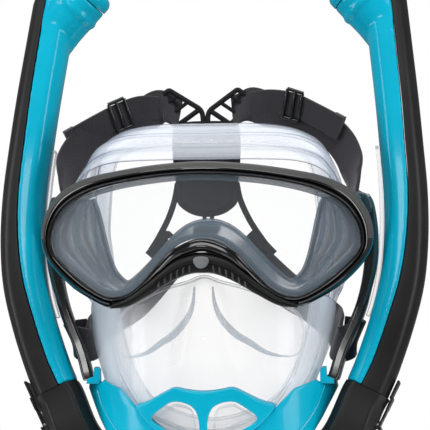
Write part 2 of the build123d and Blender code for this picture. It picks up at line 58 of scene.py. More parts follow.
# ------------------------ sizes in millimetres, in the CAD part's frame
LENS_AXIS_Y = 218.0           # axis of the curved goggle front
FRAME_BACK_R = 239.2
NOSE_R = 251.0
SHELL_AXIS_Y = 42.0           # axis of the curved lower face
SHELL_R = 72.0
POCKET_R = 63.0
CHIN_R = 76.0
CHIN_THICK = 3.9
GRILLE_R = 79.5
GRILLE_THICK = 2.6
FLAP_X = 15.8                 # middle of each exhale window
FLAP_THICK = 0.8
FACE_AXIS_Y = 96.0            # axis of the face that the seal rests on
FACE_R = 88.6
SKIRT_WALL = 1.5
EYE_WALL = 1.2
RIB_SPACING = 3.3             # ribs of the nose bridge
RIB_CREST = 9.5
RIB_HEIGHT = 2.7
RIB_REACH = (4.55, 24.35)
PAD_Y = 50.0                  # front of the head pad
PAD_THICK = 3.0
HARNESS_X = -6.0              # the harness hangs a little off centre
STRAP_HALF_WIDTH = 9.6
STRAP_HALF_THICK = 0.95
TAIL_HALF_WIDTH = 6.6
LOOP_ROD_R = 1.45
FRAME_OUTER = [(0, 44.8), (24, 43.3), (47, 39.8), (64, 35.6), (78, 28), (86.5, 16),
               (88.8, 3), (85.2, -7.7), (74, -19.6), (61, -27.9), (50, -32.4),
               (40, -31), (29, -25.2), (18.4, -18.8), (8, -14.1), (0, -13.2)]
FRAME_INNER = [(0, 38.2), (24, 36.8), (47, 33), (62, 28.3), (73.6, 21.2), (80.2, 12),
               (82.4, 3), (80.6, -4), (71, -13.6), (60, -21.8), (50, -26.1),
               (40, -24.2), (31, -17), (23.7, -8.9), (15, -0.6), (0, 4.6)]
NOSE_SPLIT = [(0, -3.5), (13, -6.5), (22, -12.8), (31, -20), (40, -26.2), (49.5, -30.5)]
CHIN_INNER = [(57.2, -72.8), (46.2, -76.2), (36.0, -86.0), (26.3, -95.8), (14.3, -103), (0, -106)]
CHIN_OUTER = [(0, -123.5), (20, -121.5), (38, -115.5), (52, -106.5), (60.3, -93.5), (68, -79),
              (67.2, -74.4), (58.6, -74.3)]
GRILLE_TOP = [(0, -75.3), (9.4, -74.3), (15.3, -72.9), (20, -75.4), (30.8, -81.6), (37.5, -83.2)]
GRILLE_LOW = [(36.2, -86.4), (26.5, -96), (14, -103.4), (0, -106.2)]
WINDOW = [(4.9, -84.6), (9.5, -82), (15.8, -81.2), (19.5, -83.4), (29, -90.2),
          (20, -94.4), (9, -99.6), (3.4, -100.6), (2.9, -92)]
POCKET_EDGE = [(0, -16), (9, -19), (22, -23), (36, -30), (46.5, -37), (50.5, -46), (49, -58),
               (43, -74), (28, -92), (0, -98)]
SKIRT_FRONT = [(0, 41), (28, 39.5), (55, 34.5), (72, 24), (81, 6), (77, -10), (70.5, -24),
               (67, -40), (63.5, -56), (55, -76), (37, -97), (0, -107)]
SKIRT_MIDDLE = [(0, 63.5), (27, 62), (50.5, 55.5), (65, 42), (77, 8), (75, -10),
                (70.5, -24), (66.5, -40), (62.5, -56), (54, -76), (36, -96), (0, -106)]
SKIRT_REAR = [(0, 64), (26, 62.5), (49, 56), (62.5, 44), (66.5, 10), (64.5, -8),
              (62.5, -24), (60.5, -40), (57, -56), (49, -76), (33, -95), (0, -105)]
TUBE_PATH = [(84.7, 3, -79.5, -3.5), (90.3, 6, -66.6, -3.0), (97.9, 10.5, -44.6, -2.6),
             (103.6, 16, -22.6, -1.4), (105.8, 22.5, 0, 0.0), (105.6, 30.5, 24, 1.0),
             (103.3, 39.5, 50, 1.4), (100.7, 50, 76, 1.9), (97.4, 62, 104, 2.3),
             (94.0, 74, 132, 2.6), (91.8, 81, 148, 2.8)]
PLUG_AXIS = Vector((0.437, 0.21, 0.8746)).normalized()
CANISTER_START = Vector((95.5, 70.0, 115.5))
CANISTER_END = Vector((71.4, 72.8, 141.4))
CANISTER_R = 15.0
CAP_LENGTH = 8.0
CHAMBER_R = 12.9              # the float's chamber, and how far it runs below and past the seam
CHAMBER_BELOW = 17
CHAMBER_PAST = 3
TOP_CUT = 5                   # stations left off, so that both tube layers end below the crown
PIN_OUT = 12.9                # lever pin, outwards from and along the plug axis
PIN_UP = -15
CROWN_CENTRE = (76.0, 118.0)
CROWN_R = 33.0

# ------------------------ studio, in metres and degrees
CAMERA_AZIMUTH = 6.5
CAMERA_ELEVATION = 3.5
CAMERA_ROLL = 1.0
CAMERA_DISTANCE = 1.25
CAMERA_TARGET = (0, 0.035, 0.013)
CAMERA_LENS = 189.95
LIGHT_TARGET = (0, 0.03, 0.01)
FLOOR_RADIUS = 0.2
FLOOR_Y = 0.02


# ------------------------ curves and meshes
def catmull(points, steps, closed=False):
    """A smooth curve through the points, with so many steps between each two."""
    p = np.array(points, float)
    count = len(p)
    out = []
    for i in range(count if closed else count - 1):
        b, c = p[i], p[(i + 1) % count]
        a = p[i - 1] if closed or i else 2 * b - c
        d = p[(i + 2) % count] if closed or i + 2 < count else 2 * c - b
        for t in np.arange(steps) / steps:
            curve = 2 * b + (c - a) * t + (2 * a - 5 * b + 4 * c - d) * t ** 2
            out.append((curve + (3 * b - 3 * c + d - a) * t ** 3) / 2)
    if not closed:
        out.append(p[-1])
    return np.array(out)


def loop(half):
    """A closed outline from its right half."""
    return list(half) + [(-x, z) for x, z in reversed(half) if x > 0]


def across(half):
    """An open line over X = 0, from a half that ends on it."""
    return [(-x, z) for x, z in half[:-1]] + half[::-1]


def inset(points, distance):
    """Move a closed clockwise loop inwards; distance is a number or one for each point."""
    p = np.asarray(points, float)
    along = np.roll(p, -1, 0) - np.roll(p, 1, 0)
    along /= np.linalg.norm(along, axis=1)[:, None]
    normal = np.stack([along[:, 1], -along[:, 0]], 1)
    return p + normal * np.asarray(distance, float).reshape(-1, 1)


def round_corners(points, closed):
    """Cut each corner of a polyline twice, so that it turns gently."""
    p = [Vector(q) for q in points]
    for _ in range(2):
        pairs = list(zip(p, p[1:] + p[:1])) if closed else list(zip(p, p[1:]))
        cut = [q for a, b in pairs for q in (a.lerp(b, 0.25), a.lerp(b, 0.75))]
        p = cut if closed else [p[0]] + cut[1:-1] + [p[-1]]
    return p


def rounded(points):
    """A closed outline in X and Z with its corners rounded."""
    return [(q.x, q.y) for q in round_corners([(x, z, 0) for x, z in points], True)]


def bent_y(x, radius, axis_y):
    """Depth of a cylinder's front at x, the cylinder standing upright about axis_y."""
    return axis_y - np.sqrt(np.maximum(np.asarray(radius, float) ** 2 - np.asarray(x, float) ** 2, 1.0))


def new_object(name, data):
    obj = bpy.data.objects.new(name, data)
    bpy.context.scene.collection.objects.link(obj)
    return obj


def evaluated_mesh(obj):
    """The mesh that the object's curve or modifiers make."""
    bpy.context.view_layer.update()
    return bpy.data.meshes.new_from_object(obj.evaluated_get(bpy.context.evaluated_depsgraph_get()))


class Build:
    """Collects vertices and faces in millimetres, and turns them into one riding piece."""

    def __init__(self):
        self.verts, self.faces, self.mats = [], [], []

    def add(self, verts, faces, mat=0):
        base = len(self.verts)
        self.verts += [tuple(float(c) for c in v) for v in verts]
        for i, face in enumerate(faces):
            self.faces.append([base + k for k in face])
            self.mats.append(mat[i] if isinstance(mat, list) else mat)
        return self

    def grid(self, rows, close_u=False, close_v=False, caps=False, mat=0):
        """rows[u][v] of points; close joins the last back to the first; mat may be a function of (u, v)."""
        rows = np.asarray(rows, float)
        nu, nv = rows.shape[:2]
        faces, mats = [], []
        for u in range(nu if close_u else nu - 1):
            for v in range(nv if close_v else nv - 1):
                a, b = u * nv + v, u * nv + (v + 1) % nv
                c, d = ((u + 1) % nu) * nv + (v + 1) % nv, ((u + 1) % nu) * nv + v
                faces.append([a, b, c, d])
                mats.append(mat(u, v) if callable(mat) else mat)
        if caps:
            faces += [list(range(nv)), [(nu - 1) * nv + v for v in reversed(range(nv))]]
            mats += [mats[0], mats[-1]]
        return self.add(rows.reshape(-1, 3), faces, mats)

    def wire(self, points, radius, closed=False, flat=1.0, turns=10, taper=False):
        """A rod along 3-D points; flat squeezes its section along Y, taper thins both ends."""
        p = [Vector(q) for q in points]
        full, rows = radius, []
        for i, q in enumerate(p):
            behind = p[i - 1] if closed or i else q
            ahead = p[(i + 1) % len(p)] if closed or i + 1 < len(p) else q
            along = (ahead - behind).normalized()
            side = along.cross(Vector((0, 1, 0)))
            side = side.normalized() if side.length > 1e-3 else Vector((1, 0, 0))
            up = side.cross(along).normalized()
            if taper:
                radius = full * (0.15 + 0.85 * math.sin(math.pi * (i + 0.5) / len(p)))
            ring = []
            for k in range(turns):
                angle = 2 * math.pi * k / turns
                ring.append(q + side * radius * math.cos(angle) + up * radius * flat * math.sin(angle))
            rows.append(ring)
        return self.grid(rows, close_u=closed, close_v=True, caps=not closed)

    def plate(self, loops, front, thickness, bevel, axis_y=None, step=3.0):
        """A plate with holes, its edges rounded; front is its radius about axis_y, or its flat front Y."""
        curve = bpy.data.curves.new("outline", "CURVE")
        curve.dimensions = "2D"
        curve.fill_mode = "BOTH"
        curve.extrude = thickness / 2 - bevel
        curve.bevel_depth = bevel
        curve.bevel_resolution = 2
        curve.offset = -bevel
        for points in loops:
            spline = curve.splines.new("POLY")
            spline.points.add(len(points) - 1)
            for target, (x, z) in zip(spline.points, points):
                target.co = (x, z, 0, 1)
            spline.use_cyclic_u = True
        holder = new_object("outline", curve)
        mesh = evaluated_mesh(holder)
        bm = bmesh.new()
        bm.from_mesh(mesh)
        bpy.data.objects.remove(holder)
        bpy.data.curves.remove(curve)
        bpy.data.meshes.remove(mesh)
        bmesh.ops.remove_doubles(bm, verts=bm.verts, dist=0.001)
        if axis_y is not None:
            low = min(v.co.x for v in bm.verts)
            high = max(v.co.x for v in bm.verts)
            for x in np.arange(low + step / 2, high, step):
                geometry = bm.verts[:] + bm.edges[:] + bm.faces[:]
                bmesh.ops.bisect_plane(bm, geom=geometry, dist=1e-4, plane_co=(x, 0, 0), plane_no=(1, 0, 0))
        bmesh.ops.recalc_face_normals(bm, faces=bm.faces)
        bm.verts.index_update()
        verts = []
        for v in bm.verts:
            depth = v.co.z + thickness / 2
            y = front + depth if axis_y is None else float(bent_y(v.co.x, front - depth, axis_y))
            verts.append((v.co.x, y, v.co.y))
        faces = [[v.index for v in face.verts] for face in bm.faces]
        bm.free()
        return self.add(verts, faces)

    def mirrored(self):
        """The same shapes reflected about X = 0."""
        verts = [(-x, y, z) for x, y, z in self.verts]
        return Build().add(verts, [face[::-1] for face in self.faces], list(self.mats))

    def piece(self, name, body, materials, slot=None, replaces=(), smooth_angle=40.0, weld=0.0):
        mesh = bpy.data.meshes.new(name)
        mesh.from_pydata([(x * MM, y * MM, z * MM) for x, y, z in self.verts], [], self.faces)
        for material in materials if isinstance(materials, (list, tuple)) else [materials]:
            mesh.materials.append(material)
        for polygon, index in zip(mesh.polygons, self.mats):
            polygon.material_index = index
        bm = bmesh.new()
        bm.from_mesh(mesh)
        if weld:
            bmesh.ops.remove_doubles(bm, verts=bm.verts, dist=weld * MM)
        bmesh.ops.recalc_face_normals(bm, faces=bm.faces)
        for edge in bm.edges:
            edge.smooth = len(edge.link_faces) < 2 or edge.calc_face_angle(0) < math.radians(smooth_angle)
        for face in bm.faces:
            face.smooth = True
        bm.to_mesh(mesh)
        bm.free()
        obj = new_object(name, mesh)
        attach(obj, body)
        if replaces:
            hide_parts(*replaces)
        return obj


def apply_modifiers(obj):
    """Bakes the piece's modifiers into its mesh."""
    mesh = evaluated_mesh(obj)
    obj.modifiers.clear()
    old = obj.data
    obj.data = mesh
    bpy.data.meshes.remove(old)


def thicken(obj, millimetres):
    """Gives a single skin its wall."""
    solid = obj.modifiers.new("wall", "SOLIDIFY")
    solid.thickness = millimetres * MM
    solid.offset = 0
    apply_modifiers(obj)


# ------------------------ materials
def new_material(name, colour, roughness, metallic=0.0, coat=0.0, ior=1.46):
    material = bpy.data.materials.new(name)
    material.use_nodes = True
    shader = material.node_tree.nodes["Principled BSDF"]
    shader.inputs["Base Color"].default_value = (*colour, 1)
    shader.inputs["Roughness"].default_value = roughness
    shader.inputs["Metallic"].default_value = metallic
    shader.inputs["Coat Weight"].default_value = coat
    shader.inputs["Coat Roughness"].default_value = 0.04
    shader.inputs["IOR"].default_value = ior
    return material


def add_noise(material, scale, detail=4.0):
    tree = material.node_tree
    place = tree.nodes.new("ShaderNodeTexCoord")
    noise = tree.nodes.new("ShaderNodeTexNoise")
    noise.inputs["Scale"].default_value = scale
    noise.inputs["Detail"].default_value = detail
    tree.links.new(place.outputs["Object"], noise.inputs["Vector"])
    return noise.outputs["Fac"]


def feed(material, output, socket):
    """Joins a node's output to a socket of the material's shader."""
    tree = material.node_tree
    tree.links.new(output, tree.nodes["Principled BSDF"].inputs[socket])


def colour_ramp(material, amount, first, last, start=0.0, end=1.0):
    """Base colour that goes from first to last as amount goes from start to end."""
    ramp = material.node_tree.nodes.new("ShaderNodeValToRGB")
    for stop, position, colour in zip(ramp.color_ramp.elements, (start, end), (first, last)):
        stop.position = position
        stop.color = (*colour, 1)
    material.node_tree.links.new(amount, ramp.inputs["Fac"])
    feed(material, ramp.outputs["Color"], "Base Color")


def spread(material, amount, low, high, socket):
    """A shader socket that goes from low to high with amount."""
    reach = material.node_tree.nodes.new("ShaderNodeMapRange")
    reach.inputs["To Min"].default_value = low
    reach.inputs["To Max"].default_value = high
    material.node_tree.links.new(amount, reach.inputs["Value"])
    feed(material, reach.outputs["Result"], socket)


def bump_from(material, height, strength, distance):
    bump = material.node_tree.nodes.new("ShaderNodeBump")
    bump.inputs["Strength"].default_value = strength
    bump.inputs["Distance"].default_value = distance
    material.node_tree.links.new(height, bump.inputs["Height"])
    feed(material, bump.outputs["Normal"], "Normal")


def vary_colour(material, dark, light, scale):
    """Slow colour variation between two colours."""
    colour_ramp(material, add_noise(material, scale, 3.0), dark, light, 0.35, 0.65)


def vary_roughness(material, low, high, scale):
    spread(material, add_noise(material, scale), low, high, "Roughness")


def add_bump(material, scale, strength, distance=0.0002):
    bump_from(material, add_noise(material, scale), strength, distance)


def clear_material(name, colour, facing, edge, roughness, edge_colour=None):
    """A clear plastic or silicone: nearly invisible face on, tinted where it turns away."""
    material = new_material(name, colour, roughness)
    weight = material.node_tree.nodes.new("ShaderNodeLayerWeight")
    weight.inputs["Blend"].default_value = 0.5
    turned_away = weight.outputs["Facing"]
    spread(material, turned_away, facing, edge, "Alpha")
    colour_ramp(material, turned_away, colour, edge_colour or colour, 0.45, 0.92)
    add_bump(material, 60.0, 0.06)
    return material


def webbing_material():
    """Dark woven tape: two crossed waves for its colour and its relief."""
    material = new_material("webbing", (0.018, 0.017, 0.022), 0.85)
    nodes, links = material.node_tree.nodes, material.node_tree.links
    place = nodes.new("ShaderNodeTexCoord")
    weave = nodes.new("ShaderNodeMath")
    weave.operation = "MULTIPLY"
    for slot, direction in enumerate("XZ"):
        wave = nodes.new("ShaderNodeTexWave")
        wave.bands_direction = direction
        wave.inputs["Scale"].default_value = 420.0
        wave.inputs["Distortion"].default_value = 0.6
        links.new(place.outputs["Object"], wave.inputs["Vector"])
        links.new(wave.outputs["Fac"], weave.inputs[slot])
    bump_from(material, weave.outputs["Value"], 0.35, 0.0002)
    colour_ramp(material, weave.outputs["Value"], (0.014, 0.012, 0.016), (0.030, 0.027, 0.035))
    nodes["Principled BSDF"].inputs["Sheen Weight"].default_value = 0.3
    return material


def make_materials():
    made = {}
    teal = made["teal"] = new_material("teal_gloss", (0.002, 0.42, 0.60), 0.18, coat=0.12, ior=1.25)
    vary_colour(teal, (0.001, 0.39, 0.57), (0.002, 0.43, 0.61), 30.0)
    add_bump(teal, 400.0, 0.04, 0.0001)
    black = made["gloss_black"] = new_material("gloss_black", (0.006, 0.006, 0.007), 0.12, coat=0.5)
    vary_roughness(black, 0.09, 0.2, 60.0)
    brow = made["brow"] = new_material("brow_grey", (0.075, 0.075, 0.072), 0.42)
    vary_roughness(brow, 0.36, 0.5, 90.0)
    add_bump(brow, 1500.0, 0.1, 0.00005)
    matte = made["matte_black"] = new_material("matte_black", (0.016, 0.016, 0.016), 0.38, ior=1.3)
    vary_colour(matte, (0.012, 0.012, 0.012), (0.018, 0.018, 0.018), 25.0)
    add_bump(matte, 1800.0, 0.18, 0.00006)
    rubber = made["black_rubber"] = new_material("black_rubber", (0.013, 0.012, 0.015), 0.6, ior=1.25)
    add_bump(rubber, 900.0, 0.15, 0.0001)
    vary_roughness(rubber, 0.42, 0.6, 80.0)
    grey = made["grey"] = new_material("grey_plastic", (0.19, 0.20, 0.21), 0.35)
    add_bump(grey, 1500.0, 0.15, 0.00005)
    vary_colour(grey, (0.16, 0.17, 0.18), (0.22, 0.23, 0.24), 120.0)
    made["lens"] = clear_material("clear_lens", (0.80, 0.86, 0.90), 0.03, 0.35, 0.03)
    made["shell"] = clear_material("clear_shell", (0.72, 0.78, 0.84), 0.02, 0.8, 0.05, (0.12, 0.19, 0.26))
    made["silicone"] = clear_material("clear_silicone", (0.82, 0.86, 0.93), 0.11, 0.75, 0.16,
                                      (0.10, 0.15, 0.24))
    made["pocket"] = clear_material("pocket_silicone", (0.80, 0.76, 0.75), 0.10, 0.85, 0.2, (0.14, 0.20, 0.27))
    made["seal"] = clear_material("seal_silicone", (0.10, 0.145, 0.19), 0.6, 0.95, 0.18)
    made["cup_edge"] = clear_material("cup_edge", (0.36, 0.43, 0.49), 0.4, 0.8, 0.2)
    made["temple"] = new_material("temple_smoke", (0.012, 0.045, 0.055), 0.2, coat=0.4)
    vary_roughness(made["temple"], 0.15, 0.3, 50.0)
    white = made["white_rubber"] = new_material("white_rubber", (0.6, 0.63, 0.65), 0.5)
    add_bump(white, 500.0, 0.1, 0.0001)
    made["webbing"] = webbing_material()
    steel = made["steel"] = new_material("steel_pin", (0.55, 0.55, 0.56), 0.25, metallic=1.0)
    vary_roughness(steel, 0.2, 0.35, 300.0)
    return made


MAT = make_materials()


def cast_no_shadow(obj):
    """Clear pieces let the light through."""
    obj.visible_shadow = False


def both(build, name, body, material, slot, node, **more):
    """One piece for each side, from the right side's shapes; node is the CAD node without its side."""
    pieces = []
    for side, shapes in (("right", build), ("left", build.mirrored())):
        where = body if body == "mask" else f"{side}_{body}"
        pieces.append(shapes.piece(f"{side}_{name}", where, material, slot, [f"{side}_{node}"], **more))
    return pieces


# ------------------------ goggle front
def ring_points(t, radius, outer, inner):
    x = outer[:, 0] + t * (inner[:, 0] - outer[:, 0])
    z = outer[:, 1] + t * (inner[:, 1] - outer[:, 1])
    return np.stack([x, bent_y(x, radius, LENS_AXIS_Y), z], 1)


def goggle_frame():
    """Ring round the lens: grey bevel along the brow, glossy roll, thin inner lip."""
    outer = catmull(loop(FRAME_OUTER), 10, True)
    inner = catmull(loop(FRAME_INNER), 10, True)
    profile = [(0.0, 239.6), (-0.03, 243.0), (0.0, 244.6), (0.04, 245.6), (0.12, 246.6), (0.24, 247.9),
               (0.36, 248.9), (0.43, 249.3), (0.5, 249.4), (0.56, 249.0), (0.6, 248.0), (0.63, 247.8),
               (0.66, 248.6), (0.70, 249.8), (0.76, 250.2), (0.82, 249.9), (0.87, 249.0), (0.9, 248.6),
               (0.93, 248.9), (0.97, 248.6), (1.0, 247.9), (1.0, 239.6)]
    columns = []
    for t, radius in profile:
        under_nose = (np.abs(outer[:, 0]) < 49) & (outer[:, 1] < 0) & (t < 0.6)
        columns.append(ring_points(t, np.where(under_nose, np.minimum(radius, 247.2), radius), outer, inner))
    rows = np.stack(columns, 1)
    brow = lambda u, v: 1 if 1 <= v <= 5 and outer[u][1] > 4 else 0
    shapes = Build().grid(rows, close_u=True, close_v=True, mat=brow)
    shapes.piece("goggle_ring", "mask", [MAT["gloss_black"], MAT["brow"]], "frame_black", ["goggle_frame"])


def nose_bridge():
    """Ribbed saddle along the lower middle of the frame, with a painted highlight of lighter grey along the rib
    crests.
    """
    split = catmull(across(NOSE_SPLIT[::-1]), 12)
    low = catmull(across([p for p in FRAME_OUTER if p[1] < -12 and p[0] <= 50]), 12)
    x = np.linspace(-49.3, 49.3, 300)
    top = np.interp(x, split[:, 0], split[:, 1])
    bottom = np.interp(x, low[:, 0], low[:, 1])
    profile = [(0, 241), (0, 249), (0.03, 250), (0.1, 250.7), (0.22, 251.1), (0.34, 251.2), (0.42, 250.9),
               (0.46, 250.0), (0.5, 249.9), (0.6, 250.1), (0.72, 250.1), (0.84, 249.9), (0.92, 249.6),
               (0.96, 249.4), (1.0, 248.4), (1.0, 241)]
    rib = np.maximum(0, np.cos(2 * math.pi * (np.abs(x) - RIB_CREST) / RIB_SPACING)) ** 3
    rib *= (np.abs(x) > RIB_REACH[0]) & (np.abs(x) < RIB_REACH[1])
    rows = []
    for t, radius in profile:
        ribbed = 0.46 < t < 0.96
        height = RIB_HEIGHT * rib * max(0.0, math.sin(math.pi * (t - 0.46) / 0.5)) if ribbed else 0.0
        lean = 0.25 * np.sign(x) * (t - 0.7) * 6 * (rib > 0)
        px = x + lean * ribbed
        rows.append(np.stack([px, bent_y(px, radius + height, LENS_AXIS_Y), top + t * (bottom - top)], 1))
    rows = np.stack(rows, 1)
    # Painted highlight: the crests of the ribs in the middle of the profile take the lighter grey brow
    # material.
    rib_crest_highlight = lambda u, v: 1 if rib[u] > 0.45 and 8 <= v <= 11 else 0
    Build().grid(rows, close_v=True, caps=True, mat=rib_crest_highlight).piece(
        "ribbed_nose_bridge", "mask", [MAT["matte_black"], MAT["brow"]], "spine_black", ["nose_bridge"])
    stud = [(-4.9, -4.4), (4.9, -4.4), (2.8, -10.6), (-2.8, -10.6)]
    Build().plate([rounded(stud)], NOSE_R + 1.6, 2.6, 0.5, LENS_AXIS_Y).piece(
        "nose_button", "mask", MAT["grey"], "grey_plastic", ["nose_stud"])


def lens_parts():
    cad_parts["lens"].data.materials[0] = MAT["lens"]
    cast_no_shadow(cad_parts["lens"])
    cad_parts["lens_bezel"].data.materials[0] = MAT["seal"]


# ------------------------ soft seal
def skirt_at(y):
    """Outline of the skirt's outside at each point's own depth y."""
    outlines = [catmull(loop(half), 12, True) for half in (SKIRT_FRONT, SKIRT_MIDDLE, SKIRT_REAR)]
    a, b, c = -26.0, 8.0, 42.0
    y = np.asarray(y, float).reshape(-1, 1)
    first = (y - b) * (y - c) / ((a - b) * (a - c))
    middle = (y - a) * (y - c) / ((b - a) * (b - c))
    last = (y - a) * (y - b) / ((c - a) * (c - b))
    return first * outlines[0] + middle * outlines[1] + last * outlines[2]


def face_skirt():
    """Clear silicone from the goggle frame back to the face, with folds over the brow and a double lip."""
    count = len(catmull(loop(SKIRT_FRONT), 12, True))
    start = np.full(count, -15.0)
    end = np.full(count, 20.0)
    for _ in range(4):
        front = skirt_at(start)
        high = bent_y(front[:, 0], FRAME_BACK_R - 0.6, LENS_AXIS_Y)
        low = bent_y(np.clip(front[:, 0], -68, 68), SHELL_R - 2.6, SHELL_AXIS_Y)
        share = np.clip((front[:, 1] + 34) / 12, 0, 1)
        start = low + (high - low) * share
        end = bent_y(skirt_at(end)[:, 0], FACE_R, FACE_AXIS_Y)
    rows = []
    for v in np.linspace(0, 1, 34):
        ring = skirt_at(start + v * (end - start))
        over_brow = np.clip((ring[:, 1] - 18) / 14, 0, 1)
        fold = 1.3 * math.sin(2 * math.pi * 2.5 * v) * math.sin(math.pi * v)
        ring = inset(ring, -(fold * over_brow))
        rows.append(np.column_stack([ring[:, 0], start + v * (end - start), ring[:, 1]]))
    edge = skirt_at(end)
    for step in (0.9, 2.2, 4, 6, 8, 9.6):
        ring = inset(edge, step)
        radius = FACE_R - 0.4 * (step < 2)
        rows.append(np.column_stack([ring[:, 0], bent_y(ring[:, 0], radius, FACE_AXIS_Y), ring[:, 1]]))
    shapes = Build().grid(np.stack(rows, 1), close_u=True)
    inner_lip = []
    for step, forward in ((1.5, 3.0), (3.5, 3.6), (6, 3.4), (8.5, 2.6), (11, 1.4)):
        ring = inset(edge, step)
        radius = FACE_R + forward
        inner_lip.append(np.column_stack([ring[:, 0], bent_y(ring[:, 0], radius, FACE_AXIS_Y), ring[:, 1]]))
    shapes.grid(np.stack(inner_lip, 1), close_u=True)
    skirt = shapes.piece("silicone_skirt", "mask", MAT["silicone"], "clear_silicone", ["face_skirt"], 80)
    thicken(skirt, SKIRT_WALL)
    cast_no_shadow(skirt)


def eye_wall():
    """Tinted wall behind the lens that parts the eyes from the nose."""
    outer = [(68, 25.2), (75, 20.4), (81.2, 12), (83.4, 3), (81.0, -4), (70.5, -13.2), (60, -21.2), (50, -25.4),
             (40, -23.4), (31, -16.2), (23.7, -8.1), (15, 0.2), (7, 4.4), (0, 5.4)]
    inner = [(62.5, 24), (60.5, 19), (58.8, 12.5), (57.6, 7), (56.5, 2), (54, -8), (50.5, -16), (44.5, -21.2),
             (38.5, -17.6), (31.5, -10.8), (24.5, -3.4), (17, 4.6), (9, 9.9), (0, 11.7)]
    outer = catmull(across(outer), 8)
    inner = catmull(across(inner), 8)
    rows = []
    for t in np.linspace(0, 1, 30):
        flat = outer + (inner - outer) * (t ** 0.8)
        front = bent_y(flat[:, 0], 241.5, LENS_AXIS_Y)
        back = np.full(len(flat), 3.0)
        y = front + (back - front) * (1 - (1 - t) ** 1.6)
        y = y + 2.2 * math.sin(5 * math.pi * t) * np.clip((np.abs(flat[:, 0]) - 42) / 14, 0, 1)
        rows.append(np.column_stack([flat[:, 0], y, flat[:, 1]]))
    shapes = Build().grid(np.stack(rows, 1))
    shapes.wire([tuple(p) for p in rows[-1]], 0.9, turns=8)
    wall = shapes.piece("eye_wall", "mask", MAT["seal"], "clear_silicone", (), 80)
    thicken(wall, EYE_WALL)
    cast_no_shadow(wall)


def orinasal_pocket():
    """Inner cup over nose and mouth: a nose dome with a cheek lobe at each side."""
    edge = catmull(loop(POCKET_EDGE), 10, True)
    centre = np.array([0.0, -48.0])
    rows = []
    for rho in np.linspace(0.02, 1, 26):
        flat = centre + (edge - centre) * rho
        x, z = flat[:, 0], flat[:, 1]
        nose_width = 9 + 9 * np.clip((-16 - z) / 50, 0, 1)
        nose = 5.5 * np.exp(-(x / nose_width) ** 4) * np.clip((z + 92) / 30, 0, 1)
        cheek = -3.5 * np.exp(-((np.abs(x) - 30) / 13) ** 2 - ((z + 43) / 15) ** 2)
        y = bent_y(x, POCKET_R, SHELL_AXIS_Y) - (nose + cheek) * (1 - rho ** 8)
        rows.append(np.column_stack([x, y, z]))
    shapes = Build().grid(np.stack(rows, 1), close_u=True)
    lobe = catmull([(4.8, -21.1), (5.9, -30.5), (9.5, -38.6), (16.2, -46.2), (23, -50.8), (32.5, -57.2),
                    (43.3, -60.2), (48.2, -58.6), (50.1, -54.3)], 6)
    for side in (-1, 1):
        line = [(side * x, float(bent_y(x, POCKET_R + 1.5, SHELL_AXIS_Y)) - 1.5, z) for x, z in lobe]
        shapes.wire(line, 0.55, turns=8)
        first = len(shapes.faces)
        shapes.wire([(x, y - 0.6, z) for x, y, z in line[:37]], 1.9, flat=0.4, turns=8, taper=True)
        shapes.mats[first:] = [1] * (len(shapes.faces) - first)
    rim = [(x, float(bent_y(x, POCKET_R, SHELL_AXIS_Y)), z) for x, z in edge]
    shapes.wire(rim, 0.9, closed=True, turns=8)
    pocket = shapes.piece("nose_and_mouth_cup", "mask", [MAT["pocket"], MAT["cup_edge"]], "clear_silicone",
                          ["orinasal_pocket"], 80)
    cast_no_shadow(pocket)


# ------------------------ lower face
def mirrored_loop(points):
    return [(-x, z) for x, z in reversed(points)]


def lower_face():
    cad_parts["mouth_shell"].data.materials[0] = MAT["shell"]
    cast_no_shadow(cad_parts["mouth_shell"])
    whole = CHIN_INNER[:-1] + mirrored_loop(CHIN_INNER) + mirrored_loop(CHIN_OUTER) + CHIN_OUTER[1:]
    shapes = Build().plate([whole], CHIN_R, CHIN_THICK, 1.1, SHELL_AXIS_Y)
    ridge = catmull([(61.5, -76.5), (57, -88), (50, -97.5), (38, -107), (21, -113.5), (0, -116)], 6)
    line = [(x, float(bent_y(x, CHIN_R + 0.1, SHELL_AXIS_Y)), z) for x, z in ridge]
    line = [(-x, y, z) for x, y, z in reversed(line[:-1])] + line[::-1]
    shapes.wire(line[::-1], 0.7, turns=8)
    for side in (-1, 1):
        tower = [(side * 59.4, -75), (side * 59.4, -67.8), (side * 60.4, -66.4), (side * 62.6, -66.4),
                 (side * 62.8, -71), (side * 66.5, -72.4), (side * 66.8, -75)]
        shapes.plate([tower], -5.6, 6.6, 0.5)
    shapes.piece("chin_band", "mask", MAT["teal"], "teal", ["chin_frame"], weld=0.001)
    opening = [tuple(p) for p in inset(np.array(WINDOW), -1.1)]
    rim = rounded(loop(GRILLE_TOP + GRILLE_LOW))
    ports = [rounded(opening), rounded(mirrored_loop(opening))]
    grille = Build().plate([rim] + ports, GRILLE_R, GRILLE_THICK, 0.9, SHELL_AXIS_Y)
    inside = [tuple(p) for p in inset(rim, 2.2)]
    grille.plate([rim, inside], 78.2, 6.0, 0.3, SHELL_AXIS_Y)
    grille.piece("chin_grille", "mask", MAT["teal"], "teal", ["valve_grille"])


def exhale_flaps():
    """Thin membranes inside the windows, each cut flat and then turned to lie on the shell."""
    turn = math.asin(FLAP_X / SHELL_R)
    outline = rounded([(x - FLAP_X, z) for x, z in inset(np.array(WINDOW), 1.0)])
    flat = Build().plate([outline], -FLAP_THICK, FLAP_THICK, 0.25)
    placed = Build()
    reach = SHELL_R + 0.15
    for x, y, z in flat.verts:
        y -= reach
        placed.verts.append((x * math.cos(turn) - y * math.sin(turn),
                             SHELL_AXIS_Y + x * math.sin(turn) + y * math.cos(turn), z))
    placed.faces, placed.mats = flat.faces, flat.mats
    for piece in both(placed, "flap_membrane", "flap", MAT["pocket"], "clear_silicone", "exhale_flap"):
        cast_no_shadow(piece)


